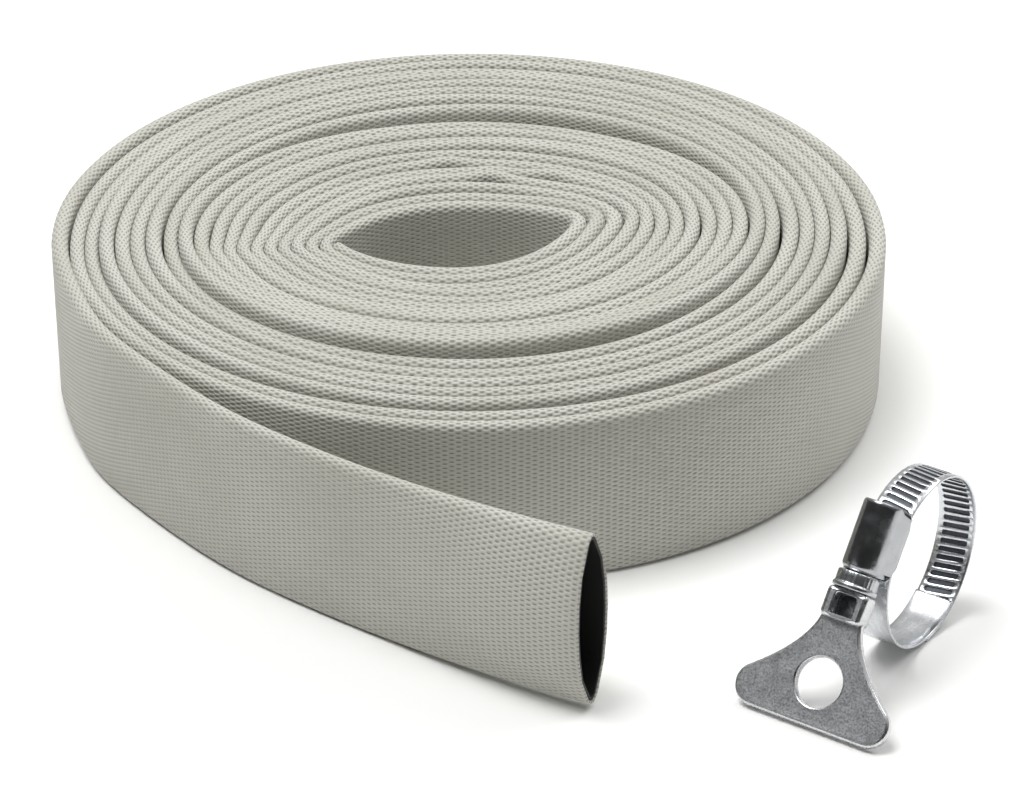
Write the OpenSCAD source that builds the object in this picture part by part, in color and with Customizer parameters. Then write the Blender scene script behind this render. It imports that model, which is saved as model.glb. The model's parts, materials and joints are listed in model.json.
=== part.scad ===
// Rolled lay-flat fire hose with a worm-drive hose clamp lying beside its open end.
// The roll stands on its edge on the floor: the origin is on the floor at the middle of the roll,
// +Z runs up along the winding axis and +X is the way the hose's open end points.

/* [Roll] */
// Diameter of the rolled hose
roll_d = 262; // [200:1:320]
// Length of the open core, tip to tip
core_len = 76; // [50:1:100]
// Width of the open core
core_w = 45; // [30:1:70]
// Direction of the core's long axis
core_turn = 40; // [0:1:180]

/* [Hose] */
// Width of the hose when it lies flat, which is the height of the roll
hose_w = 53; // [40:1:70]
// Thickness of the hose when it lies flat
hose_t = 4.4; // [4.2:0.1:6]
// Thickness of the woven jacket
jacket_t = 1; // [0.6:0.1:1.1]
// Thickness of the rubber lining
lining_t = 0.9; // [0.5:0.1:1]
// Height of the gaping mouth
mouth_h = 50.5; // [38:0.5:60]
// Width of the gaping mouth
mouth_w = 17; // [12:0.5:26]
// Length over which the flat hose opens to the mouth
mouth_run = 85; // [60:5:120]

/* [Clamp band] */
// Inside radius of the open clamp
bore_r = 24.2; // [16:0.1:30]
// Width of the band
band_w = 12; // [9:0.5:14]
// Thickness of the band
band_t = 0.8; // [0.6:0.1:1]
// Distance from one slot of the band to the next
slot_pitch = 2.5; // [2:0.1:3]
// Length of a slot across the band
slot_len = 8; // [5:0.5:8.5]
// Width of a slot along the band
slot_gap = 1.2; // [0.8:0.1:1.6]
// Slant of the slots
slot_slant = 8; // [0:1:12]

/* [Clamp drive] */
// Length of the housing
housing_len = 20; // [14:0.5:24]
// Thickness of the housing's sheet
housing_t = 1; // [0.8:0.1:1.4]
// Outside radius of the worm
worm_r = 4.5; // [3.5:0.1:5.5]
// Radius of the screw's shank
shank_r = 3; // [2:0.1:3.2]
// Radius of the screw's collar
collar_r = 6.4; // [5.5:0.1:7]
// Thickness of the screw's collar
collar_len = 5; // [3:0.5:6]

/* [Wing key] */
// Width of the key over both lobes
key_w = 48; // [40:1:56]
// Thickness of the key
key_t = 3; // [2:0.1:4]
// Radius of the lobes
lobe_r = 6; // [4:0.5:8]
// Diameter of the hole in the key
key_hole_d = 14; // [8:0.5:16]
// Distance from the middle of the hole to the key's straight edge
key_hole_up = 12.5; // [11:0.5:16]
// Width of the neck
neck_w = 12.7; // [10:0.1:14]
// Length of the neck
neck_len = 9; // [8:0.5:12]
// Depth of the neck
neck_t = 8; // [6.6:0.2:10]
// Size of the square window in the neck
neck_window = 6.4; // [4:0.2:7]

/* [Clamp place] */
// Distance from the roll's axis to the clamp's ring along X
clamp_x = 182; // [170:1:240]
// Distance from the roll's axis to the clamp's ring along Y
clamp_y = -82; // [-160:1:-60]
// Turn of the clamp on the floor
clamp_turn = -8; // [-30:1:30]
// Lean of the screw from upright
lean = 37; // [25:1:45]

/* [Hidden] */
$fn = 96;
eps = 1;                       // how far a cutting body runs past what it cuts

// The line that the free end follows, at half the hose's width: it starts within the outermost turn.
route = [
    [-100, -82], [-76, -105], [-50, -120], [-10, -137],
    [27, -146], [62, -151], [93, -153], [118, -153]
];
steps = 3;                     // rings from one route point to the next
sides = 12;                    // sides of the swept hose
flat_power = 0.35;             // how square the flat section is
mouth_power = 1.15;            // how pointed the mouth's section is

// Fits of the clamp
free_gap = 0.15;               // between pieces that slide past each other
worm_gap = 0.3;                // between the worm and its housing
end_gap = 0.3;                 // between the housing and the screw's collar
strap_out_r = bore_r + band_t;
rack_in_r = strap_out_r + free_gap;
rack_out_r = rack_in_r + band_t;
worm_z = rack_out_r + free_gap + worm_r;
end_wall = 1.2;
bore_worm_r = worm_r + worm_gap;
cover_r = bore_worm_r + housing_t;
cover_half_w = band_w / 2 + free_gap + housing_t;
seat_r = bore_r + band_t / 2;   // how far in the housing's side walls reach beside the strap
shoulder_z = rack_out_r + 1.4;

// Turns of the band about the ring, from the middle of the housing towards the key
screw_turns = 6;                // turns from the open clamp to where the lap closes
feed_angle = screw_turns * slot_pitch / rack_in_r * 180 / PI;
lap_spare = 4;                  // lap left over at the end of the travel
strap_start = -asin(housing_len / 2 / strap_out_r) + 3;
strap_end = 163;
rack_lead = asin(housing_len / 2 / rack_out_r) - 4;
rack_trail = strap_end - feed_angle - lap_spare - 360;
slot_step = slot_pitch / rack_in_r * 180 / PI;
slot_count = floor((rack_lead - rack_trail - 4) / slot_step);

// The key's straight edge and the ring both rest on the floor.
key_reach = (rack_out_r + (worm_z - key_t / 2) * sin(lean)) / cos(lean);
collar_at = housing_len / 2 + end_gap;
neck_at = collar_at + collar_len;
plate_at = neck_at + neck_len - 1;
stub_r = shank_r + 0.2;
stub_len = 1.6;
side_steps = 14;
side_power = 1.7;
lobe_join = 52;                 // where a hollow side runs into its lobe, round the lobe from +X

// Catmull-Rom curve through the route's points: place and heading at station i of the sweep.
last_ring = (len(route) - 1) * steps;
function at(i) = route[max(0, min(len(route) - 1, i))];
function blend(a, b, c, d, t) =
    0.5 * (2 * b + (c - a) * t + (2 * a - 5 * b + 4 * c - d) * t * t
    + (3 * b - a - 3 * c + d) * t * t * t);
function place(i) =
    let (k = min(floor(i / steps), len(route) - 2), t = i / steps - k)
    let (
        before = k == 0 ? 2 * at(0) - at(1) : at(k - 1),
        after = k == len(route) - 2 ? 2 * at(k + 1) - at(k) : at(k + 2)
    )
    blend(before, at(k), at(k + 1), after, t);
function heading(i) =
    let (d = place(min(i + 0.1, last_ring)) - place(max(i - 0.1, 0))) d / norm(d);

// How far the hose has opened at station i, from 0 where it is flat to 1 at the mouth.
function opened(i) =
    let (left = norm(place(last_ring) - place(i)), u = max(0, 1 - left / mouth_run)) u * u * (3 - 2 * u);

// One ring of the hose, taken in by cut on every side.
function ring(i, cut) =
    let (
        k = opened(i), p = place(i), h = heading(i),
        half_t = (hose_t + (mouth_w - hose_t) * k) / 2 - cut,
        half_w = (hose_w + (mouth_h - hose_w) * k) / 2 - cut,
        power = flat_power + (mouth_power - flat_power) * k
    )
    [
        for (s = [0:sides - 1])
            let (
                a = 360 * s / sides,
                side = abs(cos(a)) < 0.001 ? 0 : sign(cos(a)) * pow(abs(cos(a)), power),
                n = half_t * side
            )
            [p.x - h.y * n, p.y + h.x * n, hose_w / 2 + half_w * sin(a)]
    ];

// A hollow swept hose between two cuts below the outer surface.
module swept_hose(outer_cut, inner_cut) {
    rings = last_ring + 1;
    outer = [for (i = [0:last_ring]) each ring(i, outer_cut)];
    inner = [for (i = [0:last_ring]) each ring(i, inner_cut)];
    shift = rings * sides;
    quads = [
        for (i = [0:last_ring - 1], s = [0:sides - 1])
            let (t = (s + 1) % sides)
            [i * sides + s, i * sides + t, (i + 1) * sides + t, (i + 1) * sides + s]
    ];
    rims = [
        for (i = [0, last_ring], s = [0:sides - 1])
            let (t = (s + 1) % sides, a = i * sides + s, b = i * sides + t)
            i == 0 ? [a, a + shift, b + shift, b] : [a, b, b + shift, a + shift]
    ];
    skins = [for (q = quads) each [[q[0], q[1], q[2]], [q[0], q[2], q[3]]]];
    bores = [for (f = skins) [f[0] + shift, f[2] + shift, f[1] + shift]];
    ends = [for (q = rims) each [[q[0], q[1], q[2]], [q[0], q[2], q[3]]]];
    polyhedron(concat(outer, inner), concat(skins, bores, ends));
}

// Rest of the clamp: the ring's middle is the origin, the housing is on top and the key points along -Y.
module on_floor() {
    translate([clamp_x, clamp_y, rack_out_r])
        rotate([0, 0, clamp_turn])
            rotate([90 - lean, 0, 0])
                children();
}

// A curved strip about the ring's axis, from angle a0 to a1 from the housing towards the key.
module arc_strip(r_in, a0, a1) {
    rotate([180, 0, 0])
        rotate([0, 90, 0])
            rotate([0, 0, a0])
                rotate_extrude(angle = a1 - a0)
                    translate([r_in, -band_w / 2])
                        square([band_t, band_w]);
}

// A disc about the ring's axis.
module ring_disc(r, w) {
    rotate([0, 90, 0])
        cylinder(r = r, h = w, center = true);
}

// A cylinder on the screw's axis, from one distance along it to another.
module on_screw(r, from, to) {
    translate([0, -from, worm_z])
        rotate([90, 0, 0])
            cylinder(r = r, h = to - from);
}

// The pointed oval of the open core: two arcs that meet at its tips.
module core_outline() {
    arc_r = (core_len * core_len + core_w * core_w) / (4 * core_w);
    rotate(core_turn)
        intersection() {
            translate([0, arc_r - core_w / 2])
                circle(r = arc_r);
            translate([0, core_w / 2 - arc_r])
                circle(r = arc_r);
        }
}

// The turns of the roll, as the one solid that they fill.
module hose_roll() {
    color("#c9c7bf")
        linear_extrude(hose_w)
            difference() {
                circle(d = roll_d, $fn = 180);
                core_outline();
            }
}

// The woven jacket of the free end.
module jacket_tail() {
    color("#c2c0b7")
        swept_hose(0, jacket_t);
}

// The rubber lining bonded inside it.
module lining_tail() {
    color("#161616")
        swept_hose(jacket_t, jacket_t + lining_t);
}

// The plain end of the band, fixed in the housing.
module clamp_strap() {
    color("#c8cace")
        on_floor()
            arc_strip(bore_r, strap_start, strap_end);
}

// The slotted run of the band, which the worm draws through the housing.
module clamp_rack() {
    color("#c8cace")
        on_floor()
            difference() {
                arc_strip(rack_in_r, rack_trail, rack_lead);
                for (k = [1:slot_count])
                    rotate([rack_lead - 2 - k * slot_step, 0, 0])
                        translate([0, 0, rack_in_r + band_t / 2])
                            rotate([0, 0, slot_slant])
                                cube([slot_len, slot_gap, band_t + 2 * eps], center = true);
            }
}

// The half-round cover over the worm, with side walls that grip the strap's edges.
module housing_cover() {
    color("#9da0a4")
        on_floor()
            difference() {
                translate([0, housing_len / 2, 0])
                    rotate([90, 0, 0])
                        linear_extrude(housing_len)
                            union() {
                                translate([0, worm_z])
                                    circle(r = cover_r);
                                polygon([
                                    [-cover_r, worm_z], [-cover_half_w, shoulder_z], [-cover_half_w, 0],
                                    [cover_half_w, 0], [cover_half_w, shoulder_z], [cover_r, worm_z]
                                ]);
                            }
                on_screw(bore_worm_r, end_wall - housing_len / 2, housing_len / 2 - end_wall);
                on_screw(shank_r + free_gap, 0, housing_len / 2 + eps);
                difference() {
                    ring_disc(rack_out_r + free_gap, band_w + 2 * free_gap);
                    ring_disc(strap_out_r, band_w + 2 * free_gap + eps);
                }
                ring_disc(strap_out_r, band_w);
                ring_disc(seat_r, 2 * cover_half_w + eps);
            }
    }

// The worm, its shank and its collar.
module worm_screw() {
    color("#b4b7bb")
        on_floor() {
            on_screw(worm_r, end_wall + end_gap - housing_len / 2, housing_len / 2 - end_wall - end_gap);
            on_screw(shank_r, 0, collar_at + eps);
            on_screw(collar_r, collar_at, neck_at);
            on_screw(stub_r, neck_at - eps, neck_at + stub_len);
        }
}

// Outline of the wing key, from its neck to its straight edge.
module key_outline() {
    lobe_x = key_w / 2 - lobe_r;
    lobe_y = lobe_r - key_reach;
    side_end = -lobe_y - lobe_r * sin(lobe_join);
    out_x = lobe_x + lobe_r * cos(lobe_join);
    right = [
        for (k = [0:side_steps])
            let (t = k / side_steps)
            [neck_w / 2 + (out_x - neck_w / 2) * pow(t, side_power), -plate_at - (side_end - plate_at) * t]
    ];
    left = [for (k = [side_steps:-1:0]) [-right[k].x, right[k].y]];
    polygon(concat(right, [[out_x, lobe_y], [-out_x, lobe_y]], left));
    translate([-lobe_x, -key_reach])
        square([2 * lobe_x, 2 * lobe_r]);
    for (s = [-1, 1])
        translate([s * lobe_x, lobe_y])
            circle(r = lobe_r);
}

// The wing key, with its neck crimped on the end of the screw.
module wing_key() {
    color("#a9acb0")
        on_floor()
            difference() {
                union() {
                    translate([0, 0, worm_z - key_t / 2])
                        linear_extrude(key_t)
                            difference() {
                                key_outline();
                                translate([0, key_hole_up - key_reach])
                                    circle(d = key_hole_d);
                            }
                    translate([-neck_w / 2, -neck_at - neck_len, worm_z - neck_t / 2])
                        cube([neck_w, neck_len, neck_t]);
                }
                on_screw(stub_r, neck_at - eps, neck_at + stub_len);
                translate([-neck_window / 2, -neck_at - stub_len - neck_window, worm_z - neck_t])
                    cube([neck_window, neck_window + 0.01, 2 * neck_t]);
            }
}

hose_roll();
jacket_tail();
lining_tail();
clamp_strap();
clamp_rack();
housing_cover();
worm_screw();
wing_key();
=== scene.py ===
"""Rolled lay-flat fire hose with its worm-drive hose clamp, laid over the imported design.

Lengths are in metres and angles in radians, unless a name says otherwise. The hose is one surface
carried along the middle line of its turns. The clamp's pieces are worked out in the drive's own
frame, in which X is the ring's axis, Y the screw's axis and Z points to the housing, and are then
placed by the frame's joints.
"""

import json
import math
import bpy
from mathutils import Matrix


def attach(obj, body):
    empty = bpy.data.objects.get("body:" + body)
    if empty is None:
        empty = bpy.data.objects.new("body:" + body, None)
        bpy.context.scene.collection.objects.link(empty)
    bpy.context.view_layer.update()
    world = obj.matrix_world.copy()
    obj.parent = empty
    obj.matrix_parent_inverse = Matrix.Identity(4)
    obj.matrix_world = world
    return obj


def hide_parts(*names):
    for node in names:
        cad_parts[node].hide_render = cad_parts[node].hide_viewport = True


bl_info = {
    "name": "Rolled Fire Hose",
    "version": (1, 0, 0),
    "blender": (4, 5, 0),
    "location": "View3D > Sidebar > Fire Hose",
    "description": "Builds a rolled lay-flat hose with its wing-key hose clamp",
    "category": "Add Mesh",
}

import bmesh
import bpy
import numpy as np
from mathutils import Matrix, Vector

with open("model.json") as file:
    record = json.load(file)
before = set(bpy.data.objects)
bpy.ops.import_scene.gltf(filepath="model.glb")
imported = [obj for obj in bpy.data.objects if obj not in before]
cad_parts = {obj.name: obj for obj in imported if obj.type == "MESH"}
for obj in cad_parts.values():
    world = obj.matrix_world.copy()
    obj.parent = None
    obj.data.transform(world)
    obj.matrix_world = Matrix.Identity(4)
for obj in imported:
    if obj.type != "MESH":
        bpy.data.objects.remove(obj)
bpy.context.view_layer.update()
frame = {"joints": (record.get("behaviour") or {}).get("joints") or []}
JOINTS = {joint["name"]: joint for joint in frame["joints"]}
MM = 0.001
DEG = math.pi / 180

# Middle line of the led-out end, from the outermost turn to the mouth.
ROUTE = np.array([
    [-0.100, -0.082], [-0.076, -0.105], [-0.050, -0.120], [-0.010, -0.137],
    [0.027, -0.146], [0.062, -0.151], [0.093, -0.153], [0.118, -0.153],
])


def linear(code):
    """Turns an sRGB hex colour into linear red, green and blue."""
    parts = np.array([int(code[k:k + 2], 16) for k in (0, 2, 4)]) / 255
    curve = np.where(parts <= 0.04045, parts / 12.92, ((parts + 0.055) / 1.055) ** 2.4)
    return tuple(float(c) for c in curve)


def size(name, text, value, low=0.0, high=1.0):
    """A length in metres that a user can set."""
    return bpy.props.FloatProperty(
        name=name, description=text, default=value, min=low, max=high,
        precision=5, unit="LENGTH", subtype="DISTANCE",
    )


def tint(name, text, code):
    """A colour that a user can set."""
    return bpy.props.FloatVectorProperty(
        name=name, description=text, default=linear(code), size=3, min=0, max=1, subtype="COLOR",
    )


class HoseSizes(bpy.types.PropertyGroup):
    """Sizes of the hose and its roll."""

    width: size("Lay-flat width", "Width of the flat hose, which is the height of the roll", 0.053)
    pressed: size("Pressed thickness", "Thickness of the flat hose where turns press it", 0.00415)
    relaxed: size("Relaxed thickness", "Most that the flat hose swells between loose turns", 0.0053)
    wall: size("Jacket thickness", "Thickness of the woven jacket", 0.001)
    lining: size("Lining thickness", "Thickness of the rubber lining", 0.0009)
    mouth_height: size("Mouth height", "Height of the gaping mouth", 0.0505)
    mouth_width: size("Mouth width", "Width of the gaping mouth", 0.0195)
    mouth_run: size("Mouth run", "Length over which the flat hose opens", 0.085)
    core_half: size("Core half length", "Half the length of the open core", 0.0377)
    core_near: size("Core near side", "Depth of the core on the side of the mouth", 0.0265)
    core_far: size("Core far side", "Depth of the core on the far side", 0.017)
    core_turn: bpy.props.FloatProperty(
        name="Core direction", description="Direction of the core's long axis", default=42 * DEG,
        subtype="ANGLE", unit="ROTATION",
    )
    start: bpy.props.FloatProperty(
        name="Inner end", description="Direction of the hose's inner end", default=223 * DEG,
        subtype="ANGLE", unit="ROTATION",
    )
    outer: size("Outer radius", "Radius of the middle line of the outermost turn", 0.1288)
    turns: bpy.props.FloatProperty(
        name="Turns", description="Turns of hose in the roll", default=18.99, min=3, max=40,
    )


class WeaveLook(bpy.types.PropertyGroup):
    """Colours and spacing of the woven jacket."""

    yarn: tint("Yarn", "Colour of the undyed yarn", "d0cfc7")
    # Gaps: painted shade between the yarns, also mixed in lightly along the filaments.
    shade: tint("Gaps", "Colour between the yarns", "6a6a60")
    dirt: tint("Handling marks", "Colour of faint marks from handling", "a7a496")
    float_run: size("Weave repeat along", "Repeat of the weave along the hose", 0.0039)
    float_pitch: size("Weave repeat around", "Repeat of the weave around the hose", 0.00144)
    repeats: bpy.props.IntProperty(
        name="Repeats around", description="Weave repeats in the hose's girth", default=77, min=10,
    )


class ClampSizes(bpy.types.PropertyGroup):
    """Sizes of the clamp, in the drive's frame."""

    bore: size("Bore radius", "Inside radius of the ring", 0.0242)
    band: size("Band width", "Width of the band", 0.012)
    sheet: size("Band thickness", "Thickness of the band", 0.0008)
    gap: size("Running gap", "Gap between pieces that slide", 0.00015)
    pitch: size("Slot pitch", "Distance from slot to slot", 0.0025)
    slot_long: size("Slot length", "Length of a slot across the band", 0.008)
    slot_wide: size("Slot width", "Width of a slot along the band", 0.0012)
    screw_up: size("Screw height", "Distance from the ring's axis to the screw's axis", 0.0306)
    worm: size("Worm radius", "Outside radius of the worm", 0.0045)
    shank: size("Shank radius", "Radius of the screw's shank", 0.003)
    collar: size("Collar radius", "Radius of the screw's collar", 0.0064)
    housing: size("Housing length", "Length of the housing along the screw", 0.020)
    cover: size("Cover radius", "Outside radius of the housing's cover", 0.0058)
    key_width: size("Key width", "Width of the key over both lobes", 0.048)
    key_reach: size("Key reach", "Distance from the ring's middle to the key's straight edge", 0.05442)
    key_thick: size("Key thickness", "Thickness of the key", 0.003)
    hole: size("Key hole", "Radius of the hole in the key", 0.007)


class ClampLook(bpy.types.PropertyGroup):
    """Colours of the clamp's zinc-plated steel."""

    band: tint("Band", "Bright zinc on the rolled strip", "d9dbde")
    # Slots: painted shade for the slots' lips and walls and for the thin sheet seen through them.
    slot_shade: tint("Slots", "Dulled zinc inside the slots", "34363a")
    housing: tint("Housing", "Zinc on the pressed sheet", "b4b6b9")
    screw: tint("Screw", "Zinc on the turned screw", "c3c5c8")
    key: tint("Key", "Tumbled zinc on the key's faces", "bcbec1")
    # Key rim: paler zinc for the rubbed edges, which also carries a painted highlight.
    rim: tint("Key rim", "Rubbed zinc on the key's edges", "dfe0e2")


class StageLook(bpy.types.PropertyGroup):
    """Floor, light and camera."""

    floor: tint("Floor", "Colour of the floor", "fbfbfa")
    azimuth: bpy.props.FloatProperty(
        name="Azimuth", description="Camera's direction round the roll", default=27 * DEG,
        subtype="ANGLE", unit="ROTATION",
    )
    elevation: bpy.props.FloatProperty(
        name="Elevation", description="Camera's height above the floor", default=28.94 * DEG,
        subtype="ANGLE", unit="ROTATION",
    )
    distance: size("Distance", "From the camera to its aim", 1.1589, 0.2, 10)
    lens: bpy.props.FloatProperty(
        name="Lens", description="Focal length in millimetres", default=126.56, min=20, max=400,
    )


# ---------------------------------------------------------------- surfaces


def mesh_object(name, verts, faces, uvs=None, smooth=True):
    """Puts points (n, 3), quads (m, 4) and corner UVs (m, 4, 2) into a new mesh object."""
    mesh = bpy.data.meshes.new(name)
    mesh.from_pydata(np.asarray(verts, float), [], np.asarray(faces).tolist())
    if uvs is not None:
        layer = mesh.uv_layers.new(name="metres")
        layer.data.foreach_set("uv", np.asarray(uvs, np.float32).ravel())
    mesh.polygons.foreach_set("use_smooth", np.full(len(mesh.polygons), smooth))
    made = bpy.data.objects.new(name, mesh)
    bpy.context.scene.collection.objects.link(made)
    return made


def grid_faces(rows, cols, wrap_rows=False, wrap_cols=True):
    """Quads of a grid of points numbered row by row, closed round its columns, its rows or both."""
    row = np.arange(rows if wrap_rows else rows - 1)[:, None]
    col = np.arange(cols if wrap_cols else cols - 1)[None, :]
    down, along = (row + 1) % rows, (col + 1) % cols
    quads = [row * cols + col, row * cols + along, down * cols + along, down * cols + col]
    return np.stack(np.broadcast_arrays(*quads), -1).reshape(-1, 4)


def close_open_ends(made):
    """Welds points that meet, fills each open rim with one face and turns the faces outwards."""
    mesh = bmesh.new()
    mesh.from_mesh(made.data)
    bmesh.ops.remove_doubles(mesh, verts=mesh.verts, dist=2e-6)
    rims = [edge for edge in mesh.edges if edge.is_boundary]
    bmesh.ops.holes_fill(mesh, edges=rims, sides=0)
    bmesh.ops.recalc_face_normals(mesh, faces=mesh.faces)
    mesh.to_mesh(made.data)
    mesh.free()


def blur(values, spread):
    """Gaussian mean of each column over neighbours, spread being in samples; the ends stay put."""
    reach = int(3 * spread) + 1
    kernel = np.exp(-0.5 * (np.arange(-reach, reach + 1) / spread) ** 2)
    kernel /= kernel.sum()
    columns = values.reshape(len(values), -1)
    before = 2 * columns[:1] - columns[reach:0:-1]
    after = 2 * columns[-1:] - columns[-2:-reach - 2:-1]
    padded = np.concatenate([before, columns, after])
    mean = np.stack([np.convolve(column, kernel, "valid") for column in padded.T], -1)
    return mean.reshape(values.shape)


def ring_blur(values, spread):
    """Gaussian mean round a closed row of samples."""
    lags = np.arange(len(values))
    lags = np.minimum(lags, len(values) - lags)
    kernel = np.exp(-0.5 * (lags / spread) ** 2)
    kernel /= kernel.sum()
    return np.real(np.fft.ifft(np.fft.fft(values) * np.fft.fft(kernel)))


def wander(seed, samples, spread):
    """Smooth seeded noise with a spread of 1 and a mean of 0."""
    noise = blur(np.random.default_rng(seed).standard_normal(samples), spread)
    return (noise - noise.mean()) / noise.std()


def smoothstep(values):
    """Eases from 0 to 1 with level ends: 3u^2 - 2u^3."""
    u = np.clip(values, 0, 1)
    return u * u * (3 - 2 * u)


# ---------------------------------------------------------------- hose


PER_TURN = 720


def core_radius(sizes, angle):
    """Radius of the open core at each angle.

    The core is a pointed oval about its own middle: along its axis x = L cos t, across it
    y = w sin(t)^1.6, with a depth w for each side and a slight wave on the far side.
    """
    t = np.linspace(0, 2 * math.pi, 1441)[:-1]
    depth = np.where(np.sin(t) > 0, sizes.core_far, sizes.core_near)
    along = sizes.core_half * np.cos(t)
    across = np.sign(np.sin(t)) * depth * np.abs(np.sin(t)) ** 1.6
    across -= np.where(np.sin(t) > 0, 0.0030 * np.sin(2 * t), 0)
    cos, sin = math.cos(sizes.core_turn), math.sin(sizes.core_turn)
    x = along * cos - across * sin - 0.00275
    y = along * sin + across * cos - 0.00355
    around = np.arctan2(y, x) % (2 * math.pi)
    order = np.argsort(around)
    found = np.interp(angle % (2 * math.pi), around[order], np.hypot(x, y)[order], period=2 * math.pi)
    return ring_blur(found, 5)


# Slack places between one turn and the turn before it: turn, millimetres of gap, length in turns.
SLACK = np.array([
    [18.95, 1.3, 0.070], [18.46, 1.9, 0.110], [17.46, 0.9, 0.090], [16.44, 0.6, 0.080],
    [2.83, 1.2, 0.050],
    [12.20, 0.9, 0.120], [9.93, 0.9, 0.150], [12.95, 0.8, 0.090], [15.90, 0.7, 0.100],
    [1.52, 2.1, 0.050], [2.51, 1.9, 0.050], [3.50, 1.9, 0.050], [6.30, 0.5, 0.120],
    [14.10, 0.5, 0.140], [11.60, 0.6, 0.100], [8.45, 0.5, 0.080], [13.40, 0.7, 0.080],
])
# Short pockets on the far side that the turns outside them go round, in the same terms.
POCKETS = np.array([[5.733, 5.0, 0.024], [3.681, 6.4, 0.032], [4.614, 4.6, 0.024]])


def turn_radii(sizes):
    """Radius of the middle line at every sample of every turn, and the spacing inside it.

    Going out from the core, each turn lies one thickness and a gap beyond the turn before it,
    divided by the cosine of the turn's slant to the circle. The gap is the slack listed above
    plus an even share of what is left up to the outermost turn. The turns are then rounded more
    the further out they lie, and each is pushed out to clear the turn before it and its pockets.
    """
    turns = math.ceil(sizes.turns)
    part = np.arange(PER_TURN) / PER_TURN
    angle = sizes.start + 2 * math.pi * part
    tau = np.arange(turns * PER_TURN) / PER_TURN
    inner = core_radius(sizes, angle)
    slack = (SLACK[:, 1:2] * MM * np.exp(-((tau - SLACK[:, :1]) / SLACK[:, 2:3]) ** 2)).sum(0)
    weight = np.clip(1 + 0.45 * wander(7, len(tau), 0.13 * PER_TURN), 0.15, 2.2)
    weight *= np.where(tau > turns - 1.2, 0.8, 1)
    target = np.interp(part, [0, 0.2, 0.456, 0.7, 0.93, 1], [-4.6, -2.6, -1.8, -0.2, 1.0, 1.0])
    target = sizes.outer + blur(target, 25) * MM
    slant = np.ones_like(tau)
    share = np.full(PER_TURN, 0.5 * MM)
    birth = smoothstep((part - 0.955) / 0.045)
    for _ in range(8):
        spacing = (sizes.pressed + slack + weight * np.tile(share, turns)) / slant
        rows = spacing.reshape(turns, PER_TURN)
        first = rows[1, 0] * birth + sizes.pressed / 2 / slant[:PER_TURN]
        radius = inner + first + np.concatenate([np.zeros((1, PER_TURN)), np.cumsum(rows[1:], 0)])
        spare = target - radius[-1]
        worth = (weight / slant).reshape(turns, PER_TURN)[1:].sum(0)
        share = ring_blur(share + spare / worth, 8)
        flat = blur(radius.ravel(), 14)
        slope = np.gradient(flat) * PER_TURN / (2 * math.pi)
        slant = np.clip(blur(np.cos(np.arctan2(slope, flat)), 14), 0.8, 1)
        slant = np.concatenate([slant[:PER_TURN], slant[:-PER_TURN]])
    even = radius.ravel()
    even = (even + (blur(even, 38) - even) * smoothstep(tau / 7)).reshape(turns, PER_TURN)
    pocket = (POCKETS[:, 1:2] * MM * np.exp(-((tau - POCKETS[:, :1]) / POCKETS[:, 2:3]) ** 2)).sum(0)
    least = ((sizes.pressed + pocket) / slant).reshape(turns, PER_TURN)
    for turn in range(1, turns):
        even[turn] = np.maximum(even[turn], even[turn - 1] + least[turn])
    even = blur(even.ravel(), 4)
    inside = np.concatenate([np.full(PER_TURN, sizes.relaxed), even[PER_TURN:] - even[:-PER_TURN]])
    return tau, even, inside * slant


def catmull_rom(points, steps):
    """Smooth curve through points: each stretch is the cubic of its four nearest points."""
    ends = np.concatenate([2 * points[:1] - points[1:2], points, 2 * points[-1:] - points[-2:-1]])
    a, b, c, d = (ends[k:len(ends) - 3 + k, None] for k in range(4))
    t = (np.arange(steps) / steps)[None, :, None]
    curve = 2 * b + (c - a) * t + (2 * a - 5 * b + 4 * c - d) * t ** 2
    curve = 0.5 * (curve + (3 * b - a - 3 * c + d) * t ** 3)
    return np.concatenate([curve.reshape(-1, 2), points[-1:]])


def raised(sizes, tau, angle):
    """How far each turn stands above the floor.

    Three packs of turns lean by different amounts. The inner pack's lean grows with the square of
    the turn: high on the near side and low on the far side. The middle and outer packs lean a
    little the other way.
    """
    near = np.cos(angle - 297 * DEG)
    inner_pack = (0.5 + (3.4 + 3.4 * near) * (tau / 11.5) ** 2) * MM
    middle_pack = (3.7 - 1.0 * near) * MM
    outer_pack = (1.5 - 1.5 * near) * MM
    edge = 11.45 + 0.25 * near
    in_inner = 1 / (1 + np.exp((tau - edge) / 0.07))
    rim = 16.7 + 0.25 * near
    in_outer = 1 / (1 + np.exp((rim - tau) / 0.07))
    middle = middle_pack * (1 - in_inner) * (1 - in_outer)
    return inner_pack * in_inner + middle + outer_pack * in_outer


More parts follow.
